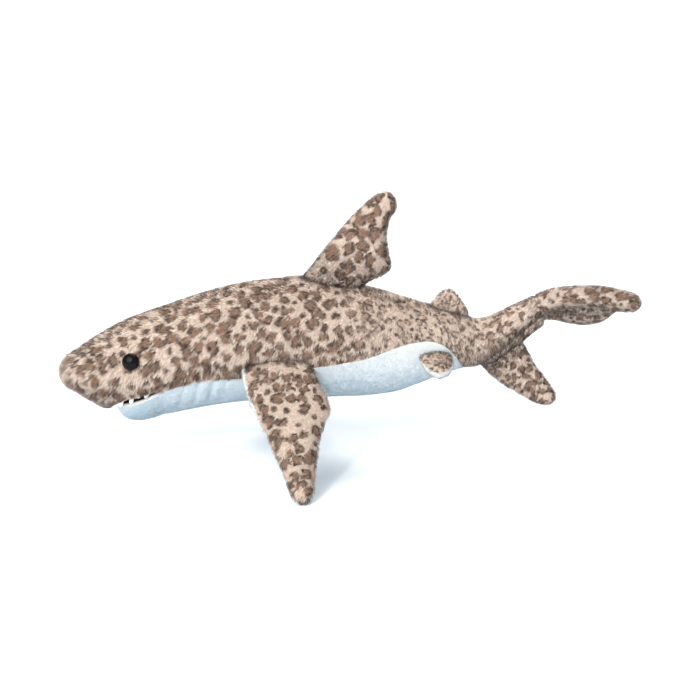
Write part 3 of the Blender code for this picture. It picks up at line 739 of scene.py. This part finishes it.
def grow(
    name, skin, density, length, lean, flow, look, print_of=None, width=0.32, avoid=(), near=(),
    clump=0.2, blur=0.55, twist=1.1, reach=5.0, under=0.0, side=0,
):
    """Plants pile on a skin: flat tapered strands that lean with the flow and gather in tufts.

    Density is in strands per square millimetre, the lean in degrees from upright, and length,
    width, reach and the print's blur in millimetres. The length may be a function of the places.
    Clump is how far a tuft's strands are drawn together, and twist how far each turns on itself.
    Strands inside a form to avoid are left out. Pile gets painted shade within reach of the
    forms to avoid and of those listed as near, and, by the share under, where it faces down.
    A side of -1 or 1 keeps only the shark's left or right half.
    """
    rng = np.random.default_rng(sum(map(ord, name)))
    _, area, _ = surface(skin)
    count = int(area.sum() / MM**2 * density)
    root, out = scatter(skin, count, rng)
    keep = root[:, 1] * side > 0 if side else np.ones(count, bool)
    for tree in avoid:
        for i in np.nonzero(keep)[0]:
            _, normal, _, _ = tree.ray_cast(Vector(root[i]), PROBE)
            keep[i] = normal is None or normal.dot(PROBE) < 0
    tall = length(root) if callable(length) else np.full(count, float(length))
    keep &= tall > 0.05
    root, out, tall = root[keep], out[keep], tall[keep]
    count = len(root)
    # Painted shade: darker where the pile faces down, and in creases within reach of nearby forms.
    fold = under * ramp(-out[:, 2], -0.15, 0.7)
    for tree in (*avoid, *near):
        for i in range(count):
            distance = tree.find_nearest(Vector(root[i]), reach * MM)[3]
            if distance is not None:
                fold[i] = max(fold[i], 1 - distance / (reach * MM))
    tall = tall * MM * rng.uniform(0.75, 1.15, count)
    way = flow(root, out) if callable(flow) else np.tile(np.array(flow, float), (count, 1))
    way = way + 0.22 * waves_3d(root, 22 * MM, 21) + 0.16 * rng.normal(size=(count, 3))
    tangent = unit(way - out * (way * out).sum(1, keepdims=True))
    tilt = np.radians(lean + rng.normal(0, LEAN_SPREAD, count))[:, None]
    first, second = (unit(out * np.cos(tilt * bend) + tangent * np.sin(tilt * bend)) for bend in (0.75, 1.2))
    middle = root + first * tall[:, None] * 0.5
    tip = middle + second * tall[:, None] * 0.5

    leaders = rng.choice(count, max(count // TUFT_STRANDS, 1), replace=False)
    leader = leaders[nearest_of(root[leaders], root)]
    pull = clump * rng.uniform(0.5, 1.2, count)[:, None]
    tip = tip + (tip[leader] - tip) * pull
    middle = middle + (middle[leader] - middle) * pull * 0.35

    along = unit(tip - root)
    flat = unit(np.cross(along, out))
    turn = rng.uniform(-twist, twist, count)[:, None]
    across = unit(flat * np.cos(turn) + np.cross(along, flat) * np.sin(turn)) * width * MM
    base = root - out * ROOT_DEPTH * MM
    wide, narrow = across / 2, across * 0.42
    verts = np.stack([base - wide, base + wide, middle + narrow, middle - narrow, tip], 1)
    verts[..., 2] = np.maximum(verts[..., 2], FLOOR_GAP * MM)
    faces = np.arange(count)[:, None, None] * STRAND_VERTS + np.array(STRAND_FACES)

    mesh = bpy.data.meshes.new(name)
    mesh.vertices.add(count * STRAND_VERTS)
    mesh.vertices.foreach_set("co", verts.ravel())
    mesh.loops.add(faces.size)
    mesh.loops.foreach_set("vertex_index", faces.ravel())
    mesh.polygons.add(faces.size // 3)
    mesh.polygons.foreach_set("loop_start", np.arange(0, faces.size, 3))
    mesh.update(calc_edges=True)
    mesh.shade_smooth()
    obj = linked(name, mesh)
    bake_cells(mesh)
    smear = blur * MM * spot_size(root) / (9 * MM)
    shifted = root + tangent * 0.5 * MM + rng.normal(size=(count, 3)) * smear[:, None]
    dark, taupe = print_of.read(shifted) if print_of else np.zeros((2, count))
    shade = np.clip(0.55 + 0.42 * rng.normal(size=count) + 0.1 * waves(root, 9 * MM, 31), 0, 1)
    for attribute, values in (("dark", dark), ("taupe", taupe), ("shade", shade), ("fold", fold)):
        set_attribute(mesh, attribute, np.repeat(values, STRAND_VERTS))
    set_attribute(mesh, "along", np.tile(STRAND_HEIGHTS, count))
    soft = unit(out * 0.8 + along * 0.2 + rng.normal(0, 0.16, (count, 3)))
    mesh.normals_split_custom_set_from_vertices(np.repeat(soft, STRAND_VERTS, axis=0).tolist())
    mesh.materials.append(look)
    return obj


# Materials ----------------


class Nodes:
    """Shorthand for building a material's node tree."""

    def __init__(self, name, roughness, **values):
        self.material = bpy.data.materials.new(name)
        self.material.use_nodes = True
        self.tree = self.material.node_tree
        self.shader = self.tree.nodes["Principled BSDF"]
        self.shader.inputs["Roughness"].default_value = roughness
        for title, value in values.items():
            self.shader.inputs[title.replace("_", " ")].default_value = value

    def add(self, kind, **settings):
        node = self.tree.nodes.new(kind)
        for key, value in settings.items():
            setattr(node, key, value)
        return node

    def link(self, source, target):
        self.tree.links.new(source, target)

    def attribute(self, name):
        return self.add("ShaderNodeAttribute", attribute_name=name).outputs["Fac"]

    def noise(self, scale, detail=3.0):
        place = self.add("ShaderNodeTexCoord")
        noise = self.add("ShaderNodeTexNoise")
        noise.inputs["Scale"].default_value = scale
        noise.inputs["Detail"].default_value = detail
        self.link(place.outputs["Object"], noise.inputs["Vector"])
        return noise.outputs["Fac"]

    def remap(self, value, low, high, to_low=0.0, to_high=1.0):
        node = self.add("ShaderNodeMapRange")
        ends = {"From Min": low, "From Max": high, "To Min": to_low, "To Max": to_high}
        for title, number in ends.items():
            node.inputs[title].default_value = number
        self.link(value, node.inputs["Value"])
        return node.outputs["Result"]

    def mix(self, factor, a, b):
        """Mixes two colours, each a colour or a socket, by a number or a socket."""
        node = self.add("ShaderNodeMix", data_type="RGBA", blend_type="MIX")
        for socket, value in ((node.inputs[0], factor), (node.inputs[6], a), (node.inputs[7], b)):
            if isinstance(value, bpy.types.NodeSocket):
                self.link(value, socket)
            elif isinstance(value, tuple):
                socket.default_value = (*value, 1)
            else:
                socket.default_value = value
        return node.outputs[2]

    def bump(self, height, strength, distance):
        node = self.add("ShaderNodeBump")
        node.inputs["Strength"].default_value = strength
        node.inputs["Distance"].default_value = distance
        self.link(height, node.inputs["Height"])
        self.link(node.outputs["Normal"], self.shader.inputs["Normal"])

    def colour(self, value):
        """Sets the base colour and returns the finished material."""
        self.link(value, self.shader.inputs["Base Color"])
        return self.material


CREAM_LIGHT = (1.0, 0.85, 0.73)
CREAM_DEEP = (0.60, 0.45, 0.35)
TAUPE_LIGHT = (0.46, 0.29, 0.20)
TAUPE_DEEP = (0.17, 0.095, 0.065)
BROWN_LIGHT = (0.062, 0.029, 0.018)
BROWN_DEEP = (0.011, 0.005, 0.0035)
# Painted shade: strands darken towards their roots, and the cloth under the pile with them.
ROOT_SHADE = (0.12, 0.072, 0.055)
# Painted shade in creases between parts and where the pile faces down.
SHADE_COLOUR = (0.022, 0.017, 0.017)
WHITE_LIGHT = (0.73, 0.705, 0.665)
WHITE_COOL = (0.64, 0.635, 0.615)
# Painted shade on the white cloth: blue-grey under the pile, in creases and where it faces down.
WHITE_SHADE_COLOUR = (0.40, 0.55, 0.66)
EYE_DEEP = (0.003, 0.003, 0.004)
EYE_LIGHT = (0.007, 0.006, 0.006)
FLOOR_DEEP = (0.89, 0.925, 0.955)
FLOOR_LIGHT = (0.90, 0.935, 0.965)
# Plain materials: name, roughness, sheen, grain scale and detail, relief and its depth, two colours.
LINING = ("mouth_lining", 0.9, 0.15, 1500, 2, 0.6, 0.0003, (0.15, 0.10, 0.10), (0.24, 0.165, 0.16))
FELT = ("white_felt", 0.92, 0.3, 1300, 5, 0.7, 0.0003, (0.80, 0.80, 0.78), (0.92, 0.92, 0.90))
NYLON = ("washer_natural", 0.4, 0.0, 500, 2, 0.2, 0.0002, (0.74, 0.74, 0.71), (0.82, 0.82, 0.80))
SHEEN = {"Sheen_Weight": 0.35, "Sheen_Roughness": 0.25, "Specular_IOR_Level": 0.1}


def leopard_look(name, pile):
    """The printed cloth. On pile the strands darken to their roots and pale at their tips, as painted shade."""
    nodes = Nodes(name, 0.85, **SHEEN)
    shade = nodes.attribute("shade") if pile else nodes.remap(nodes.noise(700, 5), 0.3, 0.7)
    ground = nodes.mix(shade, CREAM_DEEP, CREAM_LIGHT)
    printed = nodes.mix(nodes.attribute("taupe"), ground, nodes.mix(shade, TAUPE_DEEP, TAUPE_LIGHT))
    printed = nodes.mix(nodes.attribute("dark"), printed, nodes.mix(shade, BROWN_DEEP, BROWN_LIGHT))
    if not pile:
        nodes.bump(nodes.noise(900, 4), 0.5, 0.0006)
        # Painted shade: the bare cloth is darkened as it would be under the pile.
        return nodes.colour(nodes.mix(0.4, printed, ROOT_SHADE))
    # Painted shade: darker towards each strand's root.
    depth = nodes.remap(nodes.attribute("along"), 0.0, 0.9, 0.6, 0.0)
    printed = nodes.mix(depth, printed, ROOT_SHADE)
    # Painted shade in creases and where the pile faces down.
    fold = nodes.remap(nodes.attribute("fold"), 0.0, 1.0, 0.0, 0.95)
    return nodes.colour(nodes.mix(fold, printed, SHADE_COLOUR))


def white_look(name, pile):
    """The white cloth. Painted shade tints it blue-grey under its pile, and the pile in creases and where it faces
    down.
    """
    nodes = Nodes(name, 0.8, **SHEEN)
    if not pile:
        ground = nodes.mix(nodes.remap(nodes.noise(60), 0.35, 0.65), WHITE_LIGHT, WHITE_COOL)
        nodes.bump(nodes.noise(1100, 4), 0.4, 0.0004)
        # Painted shade: the cloth under the pile is tinted blue-grey.
        return nodes.colour(nodes.mix(0.3, ground, WHITE_SHADE_COLOUR))
    ground = nodes.mix(nodes.attribute("shade"), WHITE_COOL, WHITE_LIGHT)
    # Painted shade: blue-grey in creases and where the pile faces down.
    return nodes.colour(nodes.mix(nodes.attribute("fold"), ground, WHITE_SHADE_COLOUR))


def plain_look(name, roughness, sheen, scale, detail, relief, depth, deep, light):
    """A plain material whose colour and relief follow one fine noise."""
    nodes = Nodes(name, roughness, Sheen_Weight=sheen)
    grain = nodes.noise(scale, detail)
    nodes.bump(grain, relief, depth)
    return nodes.colour(nodes.mix(nodes.remap(grain, 0.3, 0.7), deep, light))


def eye_look():
    nodes = Nodes("eye_black", 0.1, IOR=1.45, Specular_IOR_Level=0.12)
    cloud = nodes.noise(260, 2)
    nodes.link(nodes.remap(cloud, 0.3, 0.7, 0.02, 0.035), nodes.shader.inputs["Roughness"])
    return nodes.colour(nodes.mix(cloud, EYE_DEEP, EYE_LIGHT))


# Small pieces ----------------


def finished(obj, look, body, node):
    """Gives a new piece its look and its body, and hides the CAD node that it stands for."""
    obj.data.materials.append(look)
    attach(obj, body)
    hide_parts(node)


def make_eye(side, look):
    """A safety eye: a low polished dome with a fine rim, standing in the pile."""
    base, axis, radius, height = eye_place(f"eye_{side}")
    turn = Vector(axis).to_track_quat("Z", "Y").to_matrix()
    profile = [(0.0, -0.9 * MM), (radius * 0.9, -0.9 * MM), (radius * 0.985, -0.5 * MM), (radius, 0.0)]
    steps = 18
    for i in range(1, steps + 1):
        angle = math.pi / 2 * i / steps
        profile.append((radius * math.cos(angle), height * math.sin(angle) ** 0.92))
    around = np.linspace(0, 2 * math.pi, 65)
    r, h = np.array(profile).T
    flat = np.stack([r[:, None] * np.cos(around), r[:, None] * np.sin(around), h[:, None] + 0 * around], -1)
    obj = grid_piece(f"safety_eye_{side}", flat @ np.array(turn).T + base)
    face_outward(obj, base)
    finished(obj, look, "trunk", f"eye_{side}")


def make_teeth(side, look):
    """Pointed felt teeth that hang from the upper lip, each a soft rounded triangle."""
    low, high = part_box(f"felt_teeth_{side}")
    sign = -1 if side == "left" else 1
    verts, faces = [], []
    for k, (place, wide, drop) in enumerate(TEETH):
        middle = (low.x + high.x) / 2 + place * MM
        x_mm = middle / MM
        lip = (seam_height(np.array([x_mm]))[0] - BASE) * MM + 1.6 * MM
        out = lip_width(x_mm) * MM - 2.4 * MM
        steps = 7
        for face in (0, 1):
            for i in range(steps + 1):
                t = i / steps
                half = wide * MM / 2 * math.sqrt(1 - (0.97 * t) ** 2.4)
                x = middle - 0.8 * MM * t
                y = sign * (out - face * 1.0 * MM - 0.9 * MM * t)
                z = lip - drop * MM * t
                verts += [(x - half, y, z), (x + half, y, z)]
        start = k * 4 * (steps + 1)
        back = start + 2 * (steps + 1)
        for i in range(steps):
            a, b = start + 2 * i, back + 2 * i
            faces += [(a, a + 1, a + 3, a + 2), (b + 1, b, b + 2, b + 3)]
            faces += [(a, a + 2, b + 2, b), (a + 3, a + 1, b + 1, b + 3)]
        tip, tip_back = start + 2 * steps, back + 2 * steps
        faces += [(start + 1, start, back, back + 1), (tip, tip + 1, tip_back + 1, tip_back)]
    obj = mesh_piece(f"teeth_{side}", verts, faces)
    modified(obj, "BEVEL", width=0.2 * MM, segments=2)
    with editing(obj.data) as bm:
        bmesh.ops.recalc_face_normals(bm, faces=bm.faces)
    finished(obj, look, "trunk", f"felt_teeth_{side}")


def lip_width(x):
    """How far the upper lip is from the middle, at its lower edge."""
    row = np.array(BODY)
    top, low, wide = (float(curve(row, c, np.array([x]))[0]) for c in (1, 2, 3))
    up = (float(seam_height(np.array([x]))[0]) - (top + low) / 2) / ((top - low) / 2)
    return wide * math.sqrt(max(1 - up**2, 0)) - PILE_DEPTH


def make_linings(look):
    """Dark cloth inside the mouth: the roof under the snout and the floor in the jaw."""
    share = np.linspace(-1, 1, 25)
    roof_x = np.linspace(-176.5, JAW_BACK_X, 20)
    wide = np.array([lip_width(x) for x in roof_x])
    lip = curve(SEAM, 1, roof_x)
    arch = 3.0 * ramp(roof_x, -177, -170) * (1 - ramp(roof_x, -146, JAW_BACK_X))
    lift = 0.8 + 1.2 * (1 - ramp(roof_x, -172, -160))
    height = (lip + lift)[:, None] + arch[:, None] * (1 - share[None] ** 2)
    roof = grid_piece("palate_cloth", metres(roof_x[:, None], share * (wide[:, None] - 0.6), height))
    floor_x = np.linspace(-173.2, JAW_BACK_X, 20)
    wide = curve(JAW, 3, floor_x) - 2.9
    lip = curve(JAW, 1, floor_x)
    dish = 4.0 * ramp(floor_x, -175, -168) * (1 - ramp(floor_x, -146, JAW_BACK_X))
    height = lip[:, None] - 0.9 - dish[:, None] * (1 - share[None] ** 2)
    floor = grid_piece("mouth_floor_cloth", metres(floor_x[:, None], share * wide[:, None], height))
    for obj, body, node, side in (
        (roof, "trunk", "palate_lining", 1),
        (floor, "lower_jaw", "mouth_floor_lining", -1),
    ):
        modified(obj, "SOLIDIFY", thickness=0.7 * MM, offset=side)
        finished(obj, look, body, node)


# Assembly ----------------


def dressed(obj, look, print_of=None):
    """Gives a skin its look, and the print where it has one."""
    obj.data.materials.clear()
    obj.data.materials.append(look)
    if print_of:
        dark, taupe = print_of.read(coords(obj))
        set_attribute(obj.data, "dark", dark)
        set_attribute(obj.data, "taupe", taupe)


def body_pile_length(places):
    """Shaggier on the cheek, short along the lip, round the eye and at the seam."""
    x, z = places[:, 0] / MM, places[:, 2] / MM + BASE
    tall = 3.9 + 0.9 * ramp(-x, 60, 120) * (1 - ramp(z, 84, 104)) - 0.5 * ramp(z, 120, 140)
    tall = tall - 0.7 * ramp(x, 20, 70) - 0.8 * ramp(-x, 178, 195) * (1 - ramp(z, 55, 75))
    mouth = ramp(-x, 136, 142) * (1 - ramp(-x, 176, 181))
    above = z - seam_height(x)
    trim = 1 - mouth * (1 - (0.42 + 0.58 * ramp(above, 1, 13)))
    tall = np.where((mouth > 0) & (above < 14), tall * trim, tall)
    tall = np.where((mouth > 0.5) & (above < -0.6), 0, tall)
    tall = np.where((x > -139) & (x < SEAM[-1][0]) & (above < 0.4), 0, tall)
    for place, _, radius, _ in EYES:
        far = np.linalg.norm(places - place, axis=1)
        tall = np.where(far < radius * 0.9, 0, tall * (0.45 + 0.55 * ramp(far, radius, radius * 1.9)))
    return tall


def plush_length(places):
    """Longer on the jaw, and none where the cloth is tucked in at the seam."""
    x, z = places[:, 0] / MM, places[:, 2] / MM + BASE
    tall = 1.5 + 0.9 * ramp(-x, 120, 150)
    return np.where((x > JAW_BACK_X) & (z > seam_height(x) - 0.8), 0, tall)


def crease(obj):
    """Soft upright folds in the white cloth of the throat."""
    points, out = coords(obj), normals(obj)
    x, y, z = (points / MM).T
    side = ramp(np.abs(y), 12, 26)
    depth = np.zeros(len(points))
    for place, deep, wide in CREASES:
        depth += deep * np.exp(-(((x - place - 0.25 * (z - 50)) / wide) ** 2))
    set_coords(obj, points - out * (depth * side)[:, None] * MM)


EYES = [eye_place("eye_left"), eye_place("eye_right")]


def edge_and_eyes(obj):
    """Marks what the filling can't move: the sewn edges and the cloth round the eyes."""
    bm = bmesh.new()
    bm.from_mesh(obj.data)
    held = np.array([v.is_boundary for v in bm.verts])
    ends = np.array([[e.verts[0].index, e.verts[1].index] for e in bm.edges])
    bm.free()
    for _ in range(2):
        touched = held[ends].any(1)
        held[ends[touched].ravel()] = True
    places = coords(obj)
    for eye, _, radius, _ in EYES:
        held |= np.linalg.norm(places - eye, axis=1) < radius * 1.3
    return held


def add_pile(pieces, skin, slot, *args, **kwargs):
    """Grows pile on a skin and lists both."""
    fur = grow(skin.name.replace("skin", "pile"), skin, *args, **kwargs)
    pieces += [skin, fur]


def make_fins():
    """The fins' cases, by body."""
    fins = {
        "dorsal_fin": make_dorsal("dorsal_skin"),
        "second_dorsal_fin": make_fin("second_dorsal_skin", "second_dorsal_fin", 7, voxel=1.2),
        "lower_lobe": make_fin("lower_lobe_skin", "lower_lobe", 12),
    }
    for side in ("left", "right"):
        pectoral, pelvic = f"pectoral_fin_{side}", f"pelvic_fin_{side}"
        fins[pectoral] = make_fin(f"pectoral_top_skin_{side}", pectoral, 14, grow_by=0.5, widen=0.24)
        fins[pelvic] = make_fin(f"pelvic_top_skin_{side}", pelvic, 8, voxel=1.1, grow_by=0.9)
    return fins


def build():
    """All pieces with their looks and their pile; the tail's pieces, eyes, teeth and mouth linings are attached to
    their bodies.
    """
    skin_look, fur_look = leopard_look("leopard_cloth", False), leopard_look("leopard_pile", True)
    white_skin, white_fur = white_look("white_cloth", False), white_look("white_pile", True)
    back, white = make_back(), make_white()
    swell(back, -PILE_DEPTH)
    swell(white, -PLUSH_DEPTH)
    for obj, cap in ((back, 1.2), (white, 2.0)):
        inflate(obj, edge_and_eyes(obj), cap * MM, pressure=3.0)
        modified(obj, "SUBSURF", levels=1)
    for place, axis, radius, _ in EYES:
        press_in(back, place, axis, radius * 1.5, 1.3 * MM)
    crease(white)
    core = make_core()
    roll, lobe, web = tube("tail_roll_skin", TAIL_ROLL), tube("upper_lobe_skin", LOBE_TUBE, 28), make_web()
    fins = make_fins()
    solids = [solid_of(obj) for obj in fins.values()]
    lobe_solid, roll_solid, web_solid = solid_of(lobe), solid_of(roll), solid_of(web)
    printed = [back, roll, lobe, web, *fins.values()]
    prints = Print(printed)
    for obj in printed:
        dressed(obj, skin_look, prints)
    dressed(white, white_skin)

    def add_leopard(pieces, skin, length, lean, flow, avoid=(core,), blur=0.4, **settings):
        add_pile(
            pieces, skin, "leopard_plush", 2.6, length, lean, flow, fur_look, prints,
            avoid=avoid, blur=blur, **settings,
        )

    # Back and tail.
    trunk_pieces, tail_pieces, jaw_pieces, lobe_pieces = [], [], [], []
    for title, side in (("left", -1), ("right", 1)):
        # The back's pile gets painted shade next to the fins, lobe and roll, and where it faces down.
        fur = grow(
            f"back_pile_{title}", back, 2.4, body_pile_length, 54, FLOW, fur_look, prints,
            avoid=solids + [lobe_solid], near=[roll_solid], under=0.4, side=side,
        )
        trunk_pieces.append(fur)
    trunk_pieces.append(back)
    for obj in trunk_pieces:
        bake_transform(obj)
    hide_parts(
        "back_panel_left", "back_panel_right", "body_stuffing", "tail_panel_left", "tail_panel_right",
        "tail_stuffing",
    )
    add_leopard(tail_pieces, roll, 2.4, 56, FLOW, reach=16.0, under=0.5)
    for obj in tail_pieces:
        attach(obj, "tail")

    # Belly and jaw.
    # The white pile gets painted blue-grey shade where it faces down and next to the fins.
    add_pile(
        jaw_pieces, white, "white_plush", 2.4, plush_length, 66, BELLY_FLOW, white_fur,
        width=0.42, clump=0.0, avoid=solids, twist=0.4, reach=3.0, under=0.9,
    )
    for obj in jaw_pieces:
        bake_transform(obj)
    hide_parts("belly_panel", "jaw_panel", "jaw_stuffing")

    # Tail fin's upper lobe.
    add_leopard(lobe_pieces, lobe, 2.6, 58, (0.9, 0, -0.2), reach=0.5, under=0.5)
    # The web gets painted shade far out from the lobe's tube, as if in the tube's shadow.
    add_leopard(lobe_pieces, web, 1.7, 58, (0.6, 0, -0.5), avoid=(core, lobe_solid), reach=30.0, under=0.6)
    join(lobe_pieces, "upper_lobe")
    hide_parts(*BODIES["upper_lobe"])

    # Fins.
    for body, obj in fins.items():
        pivot, axis, out = root_of(body)
        pieces = []
        paired = "pectoral" in body or "pelvic" in body
        flow, tall, blur, reach, near = np.array(FLOW), 2.6, 0.4, 6.0, []
        if "dorsal" in body:
            flow = np.array(DORSAL_FLOW)
        # The dorsal fin's lower part gets painted shade far up from the body.
        if body == "dorsal_fin":
            reach = 36.0
        if body == "lower_lobe":
            near, reach = [roll_solid, web_solid], 18.0
        if paired:
            flow, tall, blur = out * 0.75 + [-0.45, 0, -0.1], 3.2, 0.6
            up = unit(np.cross(axis, out))
            up = up * (1 if up[2] > 0 else -1)
            tilt, rise = up - out * 0.13, 1.0
            if "pectoral" in body:
                tilt, rise = up + np.array([0.09, 0, 0]), 0.4
            place = pivot + up * rise * MM
            under = split(obj, obj.name.replace("top", "under"), place, -unit(tilt))
            dressed(under, white_skin)
            add_pile(
                pieces, under, "white_plush", 1.5, 2.2, 50, out * 0.8 + [-0.3, 0, 0], white_fur,
                avoid=[core], width=0.34, clump=0.1, twist=0.6, reach=0.5,
            )
        add_leopard(pieces, obj, tall, 56, flow, near=near, blur=blur, reach=reach, under=0.4)
        join(pieces, body)
        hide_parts(*BODIES[body])

    make_linings(plain_look(*LINING))
    eye_material, felt_material, nylon_material = eye_look(), plain_look(*FELT), plain_look(*NYLON)
    for side in ("left", "right"):
        make_eye(side, eye_material)
        make_teeth(side, felt_material)
        washer = frame["nodes"][f"eye_washer_{side}"]
        washer.data.materials.clear()
        washer.data.materials.append(nylon_material)


def join(pieces, body):
    """Bakes the placing of a fin's pieces into their meshes."""
    pivot, _, out = root_of(body)
    for piece in pieces:
        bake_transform(piece)


# Lights: name, kind, place, colour, power, a sun's angle or an area's side.
LIGHTS = (
    ("key", "SUN", (-0.75, -1.4, 1.25), (1.0, 0.97, 0.93), 3.2, math.radians(50)),
    ("rim", "SUN", (0.4, 0.9, 1.7), (1.0, 0.98, 0.96), 2.2, math.radians(50)),
    ("sparkle", "AREA", (-0.55, -1.6, 0.9), (1.0, 1.0, 1.0), 14.0, 0.09),
)
LIGHTS_AIM = Vector((0, 0, 0.09))
SKY_COLOUR = (0.80, 0.90, 1.0, 1)
SKY_STRENGTH = 0.5
FLOOR_HALF = 9
CAMERA_ELEVATION = math.radians(15)
CAMERA_DISTANCE = 2.5
CAMERA_LENS = 171.4
CAMERA_TARGET = Vector((0, -0.0021, 0.0961 - BASE * MM))


def make_stage():
    """A pale floor, soft lights and the camera."""
    corners = [(x * FLOOR_HALF, y * FLOOR_HALF, 0) for x, y in ((-1, -1), (1, -1), (1, 1), (-1, 1))]
    floor = mesh_piece("floor", corners, [(0, 1, 2, 3)])
    nodes = Nodes("pale_floor", 0.9)
    floor.data.materials.append(nodes.colour(nodes.mix(nodes.noise(3), FLOOR_DEEP, FLOOR_LIGHT)))
    for name, kind, place, colour, power, size in LIGHTS:
        data = bpy.data.lights.new(name, kind)
        data.energy = power
        data.color = colour
        if kind == "SUN":
            data.angle = size
        else:
            data.size = size
        light = linked(name, data)
        light.location = place
        light.rotation_euler = (LIGHTS_AIM - Vector(place)).to_track_quat("-Z", "Y").to_euler()
    world = bpy.data.worlds.new("studio")
    world.use_nodes = True
    background = world.node_tree.nodes["Background"]
    background.inputs["Color"].default_value = SKY_COLOUR
    background.inputs["Strength"].default_value = SKY_STRENGTH
    scene = bpy.context.scene
    scene.world = world
    scene.view_settings.view_transform = "Standard"

    camera = linked("camera", bpy.data.cameras.new("camera"))
    camera.data.lens = CAMERA_LENS
    camera.data.sensor_width = 36
    back = Vector((0, -math.cos(CAMERA_ELEVATION), math.sin(CAMERA_ELEVATION)))
    camera.location = CAMERA_TARGET + back * CAMERA_DISTANCE
    camera.rotation_euler = (CAMERA_TARGET - camera.location).to_track_quat("-Z", "Y").to_euler()
    scene.camera = camera


build()
make_stage()
